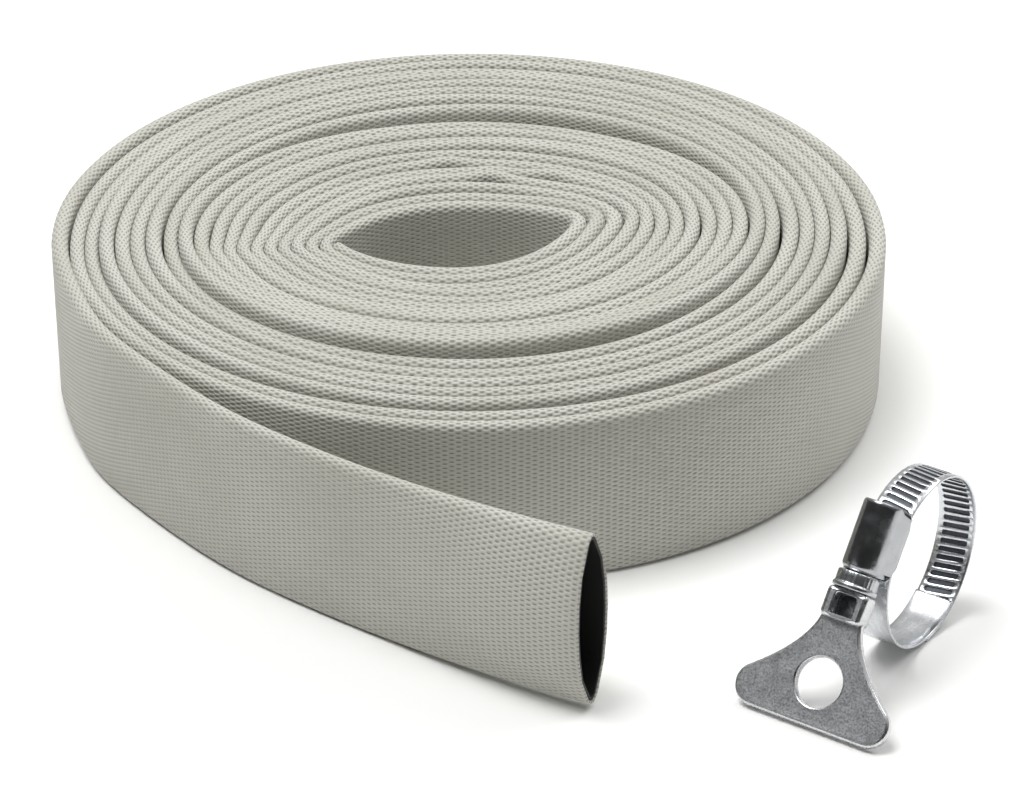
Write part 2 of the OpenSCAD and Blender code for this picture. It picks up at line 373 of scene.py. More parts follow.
def hose_path(sizes):
    """Rings of the hose: place, heading, thickness and lift at even steps from the inner end."""
    tau, radius, spacing = turn_radii(sizes)
    angle = sizes.start + 2 * math.pi * tau
    uneven = 0.3 * MM * np.clip(wander(11, len(tau), 0.05 * PER_TURN), -2, 2)
    uneven += 0.55 * MM * np.clip(wander(12, len(tau), 0.16 * PER_TURN), -2, 2)
    lift = raised(sizes, tau, angle) + uneven * (1 - smoothstep((tau - 17.4) / 1.2))
    outside = np.concatenate([spacing[PER_TURN:], np.full(PER_TURN, sizes.relaxed)])
    inside = np.where(tau < 1, sizes.relaxed, spacing)
    thick = np.clip(np.minimum(inside, outside) - 0.00006, sizes.pressed - 0.00008, sizes.relaxed)
    kept = tau <= sizes.turns
    spiral = np.stack([radius * np.cos(angle), radius * np.sin(angle)], -1)[kept]
    tail = catmull_rom(ROUTE, 24)[1:]
    points = np.concatenate([spiral, tail])
    facts = np.stack([thick, lift, tau], -1)[kept]
    tail_facts = np.array([[0.0046, 0.0, sizes.turns]]).repeat(len(tail), 0)
    ease = smoothstep(np.arange(len(tail)) / 40)[:, None]
    tail_facts = facts[-1] + (tail_facts - facts[-1]) * ease
    facts = np.concatenate([facts, tail_facts])

    along = np.concatenate([[0], np.cumsum(np.linalg.norm(np.diff(points, axis=0), axis=1))])
    fine = np.linspace(0, along[-1], int(along[-1] / MM) + 1)
    both = np.concatenate([points, facts], -1)
    both = np.stack([np.interp(fine, along, column) for column in both.T], -1)
    both[:, :2] = blur(both[:, :2], 2.6)
    leaving = np.exp(-((fine - along[kept.sum()]) / 0.032) ** 2)[:, None]
    both[:, :2] += (blur(both[:, :2], 15) - both[:, :2]) * leaving
    both[:, 2:4] = blur(both[:, 2:4], 7)
    both[:, 3] = np.maximum(both[:, 3], 0)
    step = np.linalg.norm(np.diff(both[:, :2], axis=0), axis=1)
    along = np.concatenate([[0], np.cumsum(step)])
    close = np.where(along < 0.75, 0.0018, 0.0034)
    count = int(np.sum(1 / close[1:] * step))
    measure = np.concatenate([[0], np.cumsum(step / close[1:])])
    stations = np.interp(np.linspace(0, measure[-1], count), measure, along)
    both = np.stack([np.interp(stations, along, column) for column in both.T], -1)
    return stations, both[:, :2], both[:, 2], both[:, 3]


# Section of the flat hose: a straight side, a round fold, the other side and the other fold.
FOLD = np.linspace(0, 180, 7)[1:-1]
SIDE = np.linspace(-1, 1, 7)
SECTION_TURN = np.concatenate([np.zeros(7), FOLD, np.full(7, 180.0), FOLD + 180]) * DEG
SECTION_LIFT = np.concatenate([SIDE, np.ones(5), -SIDE, -np.ones(5)])
MOUTH_POWER = 1.15


def hose_rings(sizes, path, station, inset):
    """Points of the hose's section at each station, taken in by inset: an array (n, 24, 3).

    The flat section is two straight sides with a half round at each fold. Towards the mouth it
    opens into a pointed oval: across = w cos(p)^1.15 at height h sin(p). There it also leans,
    its foot outwards, and its rim is cut back a little at the top.
    """
    stations, places, thick, lift = path
    x, y, thickness, up = (np.interp(station, stations, v) for v in (*places.T, thick, lift))
    heading = np.gradient(places, stations, axis=0)
    heading /= np.linalg.norm(heading, axis=1, keepdims=True)
    hx, hy = (np.interp(station, stations, v) for v in heading.T)
    opened = smoothstep(1 - (stations[-1] - station) / sizes.mouth_run)
    half = thickness / 2 - inset
    flat_half = sizes.width / 2 - inset
    straight = flat_half - half
    across = half[:, None] * np.cos(SECTION_TURN)
    height = straight[:, None] * SECTION_LIFT + half[:, None] * np.sin(SECTION_TURN)
    share = np.clip(height / flat_half[:, None], -1, 1)
    gape = sizes.mouth_width / 2 - inset
    tall = sizes.mouth_height / 2 - inset
    side = np.where(np.abs(np.cos(SECTION_TURN)) < 1e-6, 0, np.sign(np.cos(SECTION_TURN)))
    open_across = gape[:, None] * side * np.sqrt(1 - share ** 2) ** MOUTH_POWER
    k = opened[:, None]
    across = across + (open_across - across) * k
    height = height + (tall[:, None] * share - height) * k
    across = across - k * (0.0004 + 0.0026 * share)
    cut = -0.0032 * k * (0.5 + 0.5 * share)
    middle = sizes.width / 2 + up
    return np.stack([
        x[:, None] + hy[:, None] * across + hx[:, None] * cut,
        y[:, None] - hx[:, None] * across + hy[:, None] * cut,
        middle[:, None] + height,
    ], -1)


def tube_object(name, rings, u, v):
    """A closed skin through rings (n, 24, 3), with UVs: u along the hose and v round it."""
    rows, cols = rings.shape[:2]
    faces = grid_faces(rows, cols)
    row, col = np.divmod(np.arange((rows - 1) * cols), cols)
    corners = [(row, col), (row, col + 1), (row + 1, col + 1), (row + 1, col)]
    uvs = np.stack([np.stack([u[r], v[c]], -1) for r, c in corners], 1)
    made = mesh_object(name, rings.reshape(-1, 3), faces[:, ::-1], uvs[:, ::-1])
    close_open_ends(made)
    return made


def jacket_surface(sizes, look, path):
    """The jacket: its outside, the cut rim at each end, and its inside as far as the hose gapes."""
    stations = path[0]
    last = stations[-1]
    start_run = np.array([0.012, 0.004, 0.0005, 0.0001])
    start_inset = np.array([sizes.wall, sizes.wall, sizes.wall - 0.0001, 0.0006])
    mouth_back = np.array([0.0001, 0.0004, 0.003, 0.010, 0.022, 0.036, 0.052, 0.068, 0.084])
    mouth_inset = np.full(len(mouth_back), sizes.wall)
    mouth_inset[0] = 0.0008
    rim = [last - 0.0002, last, last]
    station = np.concatenate([start_run, [0, 0], stations[1:-1], rim, last - mouth_back])
    inset = np.concatenate([
        start_inset, [0.00035, 0.0001], np.zeros(len(stations) - 2), [0, 0.0002, 0.0005], mouth_inset,
    ])
    rings = hose_rings(sizes, path, station, inset)
    girth = look.repeats * look.float_pitch
    fold = np.linalg.norm(np.diff(rings[len(rings) // 2, list(range(24)) + [0]], axis=0), axis=1)
    v = np.concatenate([[0], np.cumsum(fold)]) / fold.sum() * girth
    return tube_object("hose_jacket", rings, station, v)


def lining_surface(sizes, look, path):
    """The rubber lining inside the gaping mouth: its outside against the jacket, then its inside."""
    last = path[0][-1]
    back = np.array([0.083, 0.068, 0.052, 0.036, 0.022, 0.010, 0.003, 0.0006, 0.0003])
    outside = np.full(len(back), sizes.wall + 0.00003)
    inside = np.full(len(back), sizes.wall + sizes.lining)
    station = last - np.concatenate([back, [0.0003], back[::-1]])
    inset = np.concatenate([outside, [sizes.wall + sizes.lining / 2], inside])
    rings = hose_rings(sizes, path, station, inset)
    girth = look.repeats * look.float_pitch
    return tube_object("hose_lining", rings, station, np.linspace(0, girth, 25))


# ---------------------------------------------------------------- clamp


ROUND = 96
SCREW_TURNS = 6


def drive_frame():
    """Matrix from the drive's frame to the model: origin on the ring's axis, Y along the screw."""
    across = Vector(JOINTS["band_feed"]["axis"])
    screw = Vector(JOINTS["screw_turn"]["axis"])
    up = across.cross(screw)
    place = Matrix((across, screw, up)).transposed().to_4x4()
    place.translation = Vector(JOINTS["band_feed"]["pos_m"])
    return place


def round_loop(wide, deep, corner, per_corner=4, per_side=1):
    """A closed rectangle loop (n, 2) with quarter-circle corners."""
    turn = np.linspace(0, math.pi / 2, per_corner + 1)
    points = []
    for quarter, (sx, sy) in enumerate([(1, 1), (-1, 1), (-1, -1), (1, -1)]):
        middle = np.array([sx * (wide / 2 - corner), sy * (deep / 2 - corner)])
        arc = turn + quarter * math.pi / 2
        points.append(middle + corner * np.stack([np.cos(arc), np.sin(arc)], -1))
    loop = np.concatenate(points)
    if per_side > 1:
        gaps = np.roll(loop, -1, 0) - loop
        long = np.linalg.norm(gaps, axis=1) > 2 * corner
        share = np.arange(per_side)[:, None] / per_side
        pieces = [p + g * share if far else p[None] for p, g, far in zip(loop, gaps, long)]
        loop = np.concatenate(pieces)
    return loop


def merged(name, parts, materials):
    """One object from several closed grids: each part is (points, quads, uvs, material index)."""
    verts, faces, uvs, indexes, start = [], [], [], [], 0
    for points, quads, corners, index in parts:
        verts.append(points)
        faces.append(quads + start)
        uvs.append(corners)
        indexes.append(np.broadcast_to(index, len(quads)))
        start += len(points)
    made = mesh_object(name, np.concatenate(verts), np.concatenate(faces), np.concatenate(uvs))
    made.data.polygons.foreach_set("material_index", np.concatenate(indexes).astype(np.int32))
    close_open_ends(made)
    use_material(made, *materials)
    made.data.transform(drive_frame())
    return made


def grid_part(points, wrap_rows=False, wrap_cols=True, index=0):
    """A part for merged() from a grid of points (rows, cols, 3), with lengths along it as UVs."""
    rows, cols = points.shape[:2]
    quads = grid_faces(rows, cols, wrap_rows, wrap_cols)
    down = np.linalg.norm(np.diff(points, axis=0, append=points[:1]), axis=-1).mean(1)
    along = np.linalg.norm(np.diff(points, axis=1, append=points[:, :1]), axis=-1).mean(0)
    u = np.concatenate([[0], np.cumsum(down)])
    v = np.concatenate([[0], np.cumsum(along)])
    made_rows = rows if wrap_rows else rows - 1
    made_cols = cols if wrap_cols else cols - 1
    row, col = np.divmod(np.arange(made_rows * made_cols), made_cols)
    corners = [(row, col), (row, col + 1), (row + 1, col + 1), (row + 1, col)]
    uvs = np.stack([np.stack([u[r], v[c]], -1) for r, c in corners], 1)
    if np.ndim(index):
        index = np.repeat(index, made_cols)
    return points.reshape(-1, 3), quads, uvs, index


def turned(profile, axis_up, wave=None):
    """A surface of revolution about the screw: profile (n, 2) is distance along -Y and radius.

    A wave, if given, is an array (n, ROUND) that is added to the radius.
    """
    turn = np.arange(ROUND) * 2 * math.pi / ROUND
    radius = profile[:, 1:2] + (np.zeros((1, ROUND)) if wave is None else wave)
    along = profile[:, :1] + np.zeros(ROUND)
    return np.stack([radius * np.cos(turn), -along, axis_up + radius * np.sin(turn)], -1)


def screw_surface(sizes, neck_at):
    """The worm, shank, collar and stub in one surface about the screw's axis.

    The thread adds depth (1/2 + 1/2 cos(2 pi y / pitch - angle))^0.7 to the root's radius. The
    collar's side is ribbed by the absolute cosine of 15 times the angle.
    """
    turn = np.arange(ROUND) * 2 * math.pi / ROUND
    depth = 0.0009
    root = sizes.worm - depth
    half = sizes.housing / 2 - 0.0015
    along = np.linspace(-half + 0.0004, half - 0.0004, 70)
    thread = np.stack([along, np.full(70, root)], -1)
    fade = smoothstep((half - np.abs(along)) / 0.0014)[:, None]
    phase = 2 * math.pi * along[:, None] / sizes.pitch - turn
    ridge = depth * fade * (0.5 + 0.5 * np.cos(phase)) ** 0.7
    collar = neck_at - 0.005
    rim = sizes.collar
    start = np.array([[-half, 0.0002], [-half, root - 0.0004], [-half + 0.0002, root - 0.0001]])
    middle = np.array([[half, sizes.shank], [collar, sizes.shank], [collar, rim - 0.0009]])
    ribbed = np.array([
        [0.0002, 0.0005], [0.0005, 0.0004], [0.0018, 0.0004], [0.0031, 0.0004], [0.0034, 0.0004],
    ])
    ribbed = np.stack([collar + ribbed[:, 0], rim - ribbed[:, 1]], -1)
    after = np.array([
        [0.0036, -0.0003], [0.0037, -0.0001], [0.0040, 0], [0.0046, 0], [0.0049, -0.0001], [0.0050, -0.0004],
    ]) + [collar, rim]
    stub = np.array([
        [neck_at, sizes.shank + 0.0001], [neck_at + 0.0016, sizes.shank + 0.0001], [neck_at + 0.0016, 0.0002],
    ])
    profile = np.concatenate([start, thread, middle, ribbed, after, stub])
    wave = np.zeros((len(profile), ROUND))
    wave[3:73] = ridge
    wave[76:81] = 0.00022 * (np.abs(np.cos(15 * turn)) - 1)
    return turned(profile, sizes.screw_up, wave)


def band_strip(inner, width, sheet, start, end, count):
    """A plain strip round the ring: a thin rounded rectangle carried along the arc."""
    section = round_loop(width, sheet, 0.3 * sheet, 2, 6)
    turn = np.linspace(start, end, count)[:, None]
    out = inner + sheet / 2 + section[None, :, 1]
    across = section[None, :, 0] + 0 * turn
    return np.stack([across, -out * np.sin(turn), out * np.cos(turn)], -1)


def slotted_strip(sizes, inner, start, end):
    """The slotted run: one cell with a slot, repeated at the pitch and bent round the ring.

    A cell's points lie on two loops of 16, its edge and its slot, and on rings between them that
    round the slot's lips. Cells slant by 8 degrees, as the slots do.
    """
    pitch, half = sizes.pitch, sizes.sheet / 2
    middle = inner + half
    cells = int((end - start) * middle / pitch)
    steps = np.linspace(-1, 1, 5)
    corner = np.concatenate([
        np.stack([np.ones(4), steps[:4]], -1), np.stack([-steps[:4], np.ones(4)], -1),
        np.stack([-np.ones(4), -steps[:4]], -1), np.stack([steps[:4], -np.ones(4)], -1),
    ])
    edge = corner * [pitch / 2, sizes.band / 2 - 0.0002]
    tight = corner * [sizes.slot_wide / 2, sizes.slot_long / 2]
    tight[:, 1] *= np.where(np.abs(corner).sum(1) == 2, 0.93, 1)
    wide = tight + np.sign(tight) * 0.00018
    loops = [
        (edge, half), (wide, half), (tight, half - 0.0002),
        (tight, 0.0002 - half), (wide, -half), (edge, -half),
    ]
    rings = np.stack([np.concatenate([loop, np.full((16, 1), up)], -1) for loop, up in loops])
    faces = [grid_faces(6, 16)]
    points = [rings.reshape(-1, 3)]
    for first, side in ((4, 1), (12, -1)):
        numbers = (first + np.arange(5)) % 16
        outer = np.stack([
            np.stack([edge[numbers, 0], np.full(5, side * sizes.band / 2), np.full(5, up)], -1)
            for up in (half - 0.0002, 0.0002 - half)
        ])
        base = sum(len(p) for p in points)
        points.append(outer.reshape(-1, 3))
        rows = [numbers, base + np.arange(5), base + 5 + np.arange(5), 80 + numbers]
        for a, b in zip(rows, rows[1:]):
            faces.append(np.stack([a[:-1], a[1:], b[1:], b[:-1]], -1))
    cell, quads = np.concatenate(points), np.concatenate(faces)
    cell[:, 0] += cell[:, 1] * math.tan(8 * DEG)
    copy = np.arange(cells)[:, None, None]
    all_points = cell[None] + copy * np.array([pitch, 0, 0])
    all_quads = (quads[None] + copy * len(cell)).reshape(-1, 4)
    flat = all_points.reshape(-1, 3)
    spare = (end - start) * middle - cells * pitch
    turn = start + (flat[:, 0] + (spare + pitch) / 2) / middle
    out = middle + flat[:, 2]
    bent = np.stack([flat[:, 1], -out * np.sin(turn), out * np.cos(turn)], -1)
    # The slots' lips and walls take the second material, which is dark with painted shade.
    walls = np.zeros(len(quads), int)
    walls[16:64] = 1
    return bent, all_quads, flat[all_quads][:, :, :2], np.tile(walls, cells)


def housing_shell(sizes, rack_out):
    """The pressed cover: a U section carried along the screw, drawn in at its two ends.

    The outside is a half circle over the worm, with straight walls that splay to the band's sides.
    The walls' lower corners are cut off, and the key's end is rolled in over the last millimetre.
    """
    sheet = 0.001
    up, half = sizes.screw_up, sizes.band / 2 + sizes.gap
    over = np.linspace(0, 180, 25) * DEG
    along = np.array([0, 0.0002, 0.0006, 0.0011, 0.0018, 0.0030, 0.0045, 0.0070, 0.0100])
    along = np.concatenate([along, sizes.housing - along[-2::-1]])
    near = np.clip(1 - along / 0.0018, 0, 1) ** 2
    far = np.clip(1 - (sizes.housing - along) / 0.0007, 0, 1) ** 2
    tuck = 0.0009 * near + 0.0003 * far
    end = np.minimum(along, sizes.housing - along)
    low = 0.0249 + 0.0029 * np.clip(1 - end / 0.0042, 0, 1)
    rows = []
    for skin in (0, 1):
        radius = (sizes.cover - tuck - skin * (sheet - 0.6 * tuck))[:, None]
        wall = (half + sheet - tuck * 0.7 - skin * (sheet - 0.6 * tuck))[:, None]
        shoulder = rack_out + 0.0014
        heights = np.array([1, 0.66, 0.33, 0])[None]
        side = shoulder - 0.0006 + 0 * tuck[:, None]
        fall = low[:, None] + (side - low[:, None]) * heights
        right = np.stack([wall + 0 * heights, fall], -1)
        arch = np.stack([radius * np.cos(over), up + radius * np.sin(over)], -1)
        left = np.stack([-wall + 0 * heights, fall], -1)
        skin_rows = np.concatenate([right[:, ::-1], arch, left], 1)
        rows.append(skin_rows if skin == 0 else skin_rows[:, ::-1])
    section = np.concatenate(rows, 1)
    y = np.broadcast_to((along - sizes.housing / 2)[:, None], section.shape[:2])
    return np.stack([section[..., 0], y, section[..., 1]], -1)


def key_outline(sizes, plate_at, neck):
    """Outline of the key (n, 2): a straight edge, two round lobes and hollow sides up to the neck.

    A hollow side runs from the neck to its lobe as x = neck + run t^1.7 at a depth linear in t.
    """
    lobe, join = 0.006, 52 * DEG
    middle = np.array([sizes.key_width / 2 - lobe, lobe - sizes.key_reach])
    out_x, side_end = middle + lobe * np.array([math.cos(join), math.sin(join)])
    t = np.linspace(0, 1, 26)
    side = np.stack([neck / 2 + (out_x - neck / 2) * t ** 1.7, -plate_at + (side_end + plate_at) * t], -1)
    arc = np.linspace(join, -math.pi / 2, 22)
    lobe_arc = middle + lobe * np.stack([np.cos(arc), np.sin(arc)], -1)
    right = np.concatenate([side[:-1], lobe_arc])
    right = even_points(right, 90, closed=False)
    left = right[::-1] * [-1, 1]
    bottom = np.linspace(right[-1], left[0], 26)[1:-1]
    top = np.linspace(left[-1], right[0], 12)[1:-1]
    loop = np.concatenate([right, bottom, left, top])
    return even_points(loop, 200, closed=True)


def even_points(loop, count, closed):
    """Points at even distances along a line, or round a closed one."""
    line = np.concatenate([loop, loop[:1]]) if closed else loop
    along = np.concatenate([[0], np.cumsum(np.linalg.norm(np.diff(line, axis=0), axis=1))])
    at = np.linspace(0, along[-1], count + 1)[:-1] if closed else np.linspace(0, along[-1], count)
    return np.stack([np.interp(at, along, axis) for axis in line.T], -1)


def inset_loop(loop, depth):
    """A closed loop moved inwards by depth along its smoothed normals."""
    way = np.roll(loop, -1, 0) - np.roll(loop, 1, 0)
    normal = np.stack([way[:, 1], -way[:, 0]], -1)
    normal /= np.linalg.norm(normal, axis=1, keepdims=True)
    area = (loop[:, 0] * np.roll(loop[:, 1], -1) - np.roll(loop[:, 0], -1) * loop[:, 1]).sum()
    return loop - normal * depth * math.copysign(1, area)


def holed_plate(outline, hole, half, edge, lip, level, rounding=5):
    """A plate with one hole, as a grid closed both ways, and a mark on the rings of its rims.

    Rings run from the hole's wall over its rounded lip, across the face and over the outline's
    quarter-round edge, and back along the other face. The outline and the hole share their count
    of points, and ring k of the face lies between them at an even share.
    """
    turn = np.linspace(0, math.pi / 2, rounding)
    rings, heights, marks = [hole + 0], [0.0], [1]
    for a in turn:
        rings.append(inset_loop(hole, -lip * (1 - math.cos(a))))
        heights.append(half - lip + lip * math.sin(a))
        marks.append(1)
    inner, outer = inset_loop(hole, -lip), inset_loop(outline, edge)
    for share in (0.12, 0.35, 0.65, 0.90):
        rings.append(inner + (outer - inner) * share)
        heights.append(half - level)
        marks.append(0)
    for a in turn[::-1]:
        rings.append(inset_loop(outline, edge * (1 - math.cos(a))))
        heights.append(half - edge + edge * math.sin(a))
        marks.append(1)
    rings.append(outline + 0)
    heights.append(0.0)
    marks.append(1)
    half_grid = np.stack([np.concatenate([r, np.full((len(r), 1), h)], -1) for r, h in zip(rings, heights)])
    back = half_grid[-2:0:-1] * [1, 1, -1]
    marks = np.array(marks + marks[-2:0:-1])
    marks = np.minimum(marks, np.roll(marks, -1))
    return np.concatenate([half_grid, back]), marks


# ---------------------------------------------------------------- materials


def add_node(tree, kind, inputs=None, **settings):
    """Adds a node: settings are its attributes, and inputs its sockets' values or links."""
    node = tree.nodes.new(kind)
    for name, value in settings.items():
        setattr(node, name, value)
    for socket, value in (inputs or {}).items():
        if isinstance(value, bpy.types.NodeSocket):
            tree.links.new(value, node.inputs[socket])
        else:
            node.inputs[socket].default_value = value
    return node


def new_material(name, uniform):
    """A material with one shader, whose named sockets take the uniform values."""
    material = bpy.data.materials.new(name)
    material.use_nodes = True
    shader = material.node_tree.nodes["Principled BSDF"]
    for socket, value in uniform.items():
        shader.inputs[socket].default_value = value
    return material, material.node_tree, shader


def rgba(colour):
    """A linear colour with full alpha."""
    return (*colour, 1.0)


# Which numbered sockets of the Mix node hold its colours.
MIX_A, MIX_B, MIX_OUT = 6, 7, 2


def woven_jacket_material(look):
    """Plain-woven undyed polyester: matt, with long warp floats in brick order over gaps darkened with
    painted shade.

    The floats are 1.95 mm long and 0.72 mm wide. Their height is half of 1 plus the product of two
    cosines, one along the hose and one round it. The finer filaments are drawn at 0.35 mm, which
    is coarser than real ones, so that they show.
    """
    material, tree, shader = new_material("woven_undyed_polyester", {
        "Roughness": 0.86, "IOR": 1.5, "Specular IOR Level": 0.35,
        "Sheen Weight": 0.18, "Sheen Roughness": 0.5,
    })
    coords = add_node(tree, "ShaderNodeUVMap", uv_map="metres")
    place = coords.outputs[0]
    noise = {
        name: add_node(tree, "ShaderNodeTexNoise", {"Vector": place, "Scale": scale, "Detail": detail})
        for name, scale, detail in (
            ("wobble", 90.0, 1.0), ("filaments", 1 / (0.35 * MM), 2.0),
            ("patches", 1 / (60 * MM), 4.0), ("specks", 1 / (2.6 * MM), 1.0),
        )
    }
    wobble = add_node(
        tree, "ShaderNodeVectorMath",
        {0: noise["wobble"].outputs["Color"], 1: (0.00035, 0.00012, 0.0)}, operation="MULTIPLY",
    )
    bent = add_node(tree, "ShaderNodeVectorMath", {0: place, 1: wobble.outputs[0]}, operation="ADD")
    parts = add_node(tree, "ShaderNodeSeparateXYZ", {0: bent.outputs[0]})
    waves = []
    for axis, repeat in (("X", look.float_run), ("Y", look.float_pitch)):
        phase = add_node(
            tree, "ShaderNodeMath", {0: parts.outputs[axis], 1: 2 * math.pi / repeat},
            operation="MULTIPLY",
        )
        waves.append(add_node(tree, "ShaderNodeMath", {0: phase.outputs[0]}, operation="COSINE"))
    floats = add_node(
        tree, "ShaderNodeMath", {0: waves[0].outputs[0], 1: waves[1].outputs[0]}, operation="MULTIPLY",
    )
    height = add_node(
        tree, "ShaderNodeMapRange", {"Value": floats.outputs[0], 1: -1.0, 2: 1.0, 3: 0.0, 4: 1.0},
    )
    # Each layer over the yarn: what it follows, the span of it, the mix over that span, its colour.
    speck = linear("4a463c")
    body = rgba(look.yarn)
    for follows, low, high, none, full, curve, colour in (
        # First layer: painted shade in the low gaps between the floats; second: the same colour darkens the
        # filaments a little.
        (height.outputs[0], 0.0, 0.5, 0.72, 0.0, "SMOOTHSTEP", look.shade),
        (noise["filaments"].outputs["Fac"], 0.25, 0.75, 0.0, 0.22, "LINEAR", look.shade),
        (noise["patches"].outputs["Fac"], 0.42, 0.8, 0.0, 0.55, "LINEAR", look.dirt),
        (noise["specks"].outputs["Fac"], 0.79, 0.84, 0.0, 0.7, "LINEAR", speck),
    ):
        share = add_node(
            tree, "ShaderNodeMapRange", {"Value": follows, 1: low, 2: high, 3: none, 4: full},
            interpolation_type=curve,
        )
        mixed = add_node(
            tree, "ShaderNodeMix", {0: share.outputs[0], MIX_A: body, MIX_B: rgba(colour)},
            data_type="RGBA",
        )
        body = mixed.outputs[MIX_OUT]
    tree.links.new(body, shader.inputs["Base Color"])
    relief = add_node(
        tree, "ShaderNodeMath", {0: noise["filaments"].outputs["Fac"], 1: 0.16, 2: height.outputs[0]},
        operation="MULTIPLY_ADD",
    )
    bump = add_node(
        tree, "ShaderNodeBump", {"Height": relief.outputs[0], "Strength": 0.8, "Distance": 0.42 * MM},
    )
    tree.links.new(bump.outputs[0], shader.inputs["Normal"])
    return material


def rubber_lining_material():
    """Smooth black EPDM rubber: nearly black, dull, with a faint grain from its extrusion."""
    material, tree, shader = new_material("extruded_black_rubber", {"Roughness": 0.6, "IOR": 1.52})
    coords = add_node(tree, "ShaderNodeUVMap", uv_map="metres")
    grain = add_node(
        tree, "ShaderNodeTexNoise", {"Vector": coords.outputs[0], "Scale": 1 / (1.2 * MM), "Detail": 3.0},
    )
    colour = add_node(
        tree, "ShaderNodeMix",
        {0: grain.outputs["Fac"], MIX_A: rgba(linear("060606")), MIX_B: rgba(linear("121211"))},
        data_type="RGBA",
    )
    tree.links.new(colour.outputs[MIX_OUT], shader.inputs["Base Color"])
    bump = add_node(
        tree, "ShaderNodeBump", {"Height": grain.outputs["Fac"], "Strength": 0.3, "Distance": 0.1 * MM},
    )
    tree.links.new(bump.outputs[0], shader.inputs["Normal"])
    return material


def plated_steel_material(name, colour, roughness, streak, relief):
    """Bright zinc plating on steel: a clear metal whose tone and relief follow the marks of its making.

    streak is the width of the drawing or turning lines in millimetres and how much longer they
    are than wide, along the piece and round it. They vary the colour and the relief a little, and a cloud of
    5 mm varies the gloss.
    """
    material, tree, shader = new_material(name, {"Metallic": 1.0})
    wide, run, turn = streak
    coords = add_node(tree, "ShaderNodeUVMap", uv_map="metres")
    drawn = add_node(
        tree, "ShaderNodeMapping",
        {"Vector": coords.outputs[0], "Scale": (1 / (wide * run * MM), 1 / (wide * turn * MM), 1.0)},
    )
    lines = add_node(
        tree, "ShaderNodeTexNoise", {"Vector": drawn.outputs[0], "Scale": 1.0, "Detail": 4.0},
    )
    place = add_node(tree, "ShaderNodeTexCoord")
    cloud = add_node(
        tree, "ShaderNodeTexNoise",
        {"Vector": place.outputs["Object"], "Scale": 1 / (5 * MM), "Detail": 3.0},
    )
    gloss = add_node(
        tree, "ShaderNodeMapRange",
        {"Value": cloud.outputs["Fac"], 1: 0.3, 2: 0.7, 3: roughness - 0.06, 4: roughness + 0.1},
    )
    tree.links.new(gloss.outputs[0], shader.inputs["Roughness"])
    tone = add_node(
        tree, "ShaderNodeMapRange", {"Value": lines.outputs["Fac"], 1: 0.3, 2: 0.75, 3: 0.0, 4: 0.45},
    )
    dull = tuple(0.62 * part for part in colour)
    body = add_node(
        tree, "ShaderNodeMix", {0: tone.outputs[0], MIX_A: rgba(colour), MIX_B: rgba(dull)},
        data_type="RGBA",
    )
    tree.links.new(body.outputs[MIX_OUT], shader.inputs["Base Color"])
    bump = add_node(
        tree, "ShaderNodeBump",
        {"Height": lines.outputs["Fac"], "Strength": 0.35, "Distance": relief * MM},
    )
    tree.links.new(bump.outputs[0], shader.inputs["Normal"])
    return material


def tumbled_zinc_material(look):
    """Tumbled zinc-plated sheet: grey and dull, mottled by grains of about half a millimetre."""
    material, tree, shader = new_material("tumbled_zinc_plated_sheet", {"Metallic": 1.0})
    place = add_node(tree, "ShaderNodeTexCoord")
    grain = add_node(
        tree, "ShaderNodeTexNoise",
        {"Vector": place.outputs["Object"], "Scale": 1 / (0.55 * MM), "Detail": 4.0},
    )
    patch = add_node(
        tree, "ShaderNodeTexNoise",
        {"Vector": place.outputs["Object"], "Scale": 1 / (4 * MM), "Detail": 3.0},
    )
    both = add_node(
        tree, "ShaderNodeMath", {0: patch.outputs["Fac"], 1: 0.5, 2: grain.outputs["Fac"]},
        operation="MULTIPLY_ADD",
    )
    tone = add_node(
        tree, "ShaderNodeMapRange", {"Value": both.outputs[0], 1: 0.5, 2: 1.0, 3: 0.0, 4: 1.0},
    )
    dark = tuple(0.5 * part for part in look.key)
    body = add_node(
        tree, "ShaderNodeMix", {0: tone.outputs[0], MIX_A: rgba(dark), MIX_B: rgba(look.key)},
        data_type="RGBA",
    )
    tree.links.new(body.outputs[MIX_OUT], shader.inputs["Base Color"])
    gloss = add_node(
        tree, "ShaderNodeMapRange", {"Value": grain.outputs["Fac"], 1: 0.3, 2: 0.7, 3: 0.42, 4: 0.62},
    )
    tree.links.new(gloss.outputs[0], shader.inputs["Roughness"])
    bump = add_node(
        tree, "ShaderNodeBump", {"Height": grain.outputs["Fac"], "Strength": 0.5, "Distance": 0.12 * MM},
    )
    tree.links.new(bump.outputs[0], shader.inputs["Normal"])
    return material


def painted_slot_shade_material(look):
    """Zinc inside the slots, darkened with painted shade: dark, rough and uneven."""
    material, tree, shader = new_material("painted_shade_zinc_in_slots", {"Metallic": 1.0, "Roughness": 0.48})
    place = add_node(tree, "ShaderNodeTexCoord")
    patchy = add_node(
        tree, "ShaderNodeTexNoise",
        {"Vector": place.outputs["Object"], "Scale": 1 / (0.8 * MM), "Detail": 3.0},
    )
    pale = tuple(3.2 * part for part in look.slot_shade)
    body = add_node(
        tree, "ShaderNodeMix", {0: patchy.outputs["Fac"], MIX_A: rgba(look.slot_shade), MIX_B: rgba(pale)},
        data_type="RGBA",
    )
    tree.links.new(body.outputs[MIX_OUT], shader.inputs["Base Color"])
    bump = add_node(
        tree, "ShaderNodeBump", {"Height": patchy.outputs["Fac"], "Strength": 0.4, "Distance": 0.1 * MM},
    )
    tree.links.new(bump.outputs[0], shader.inputs["Normal"])
    return material


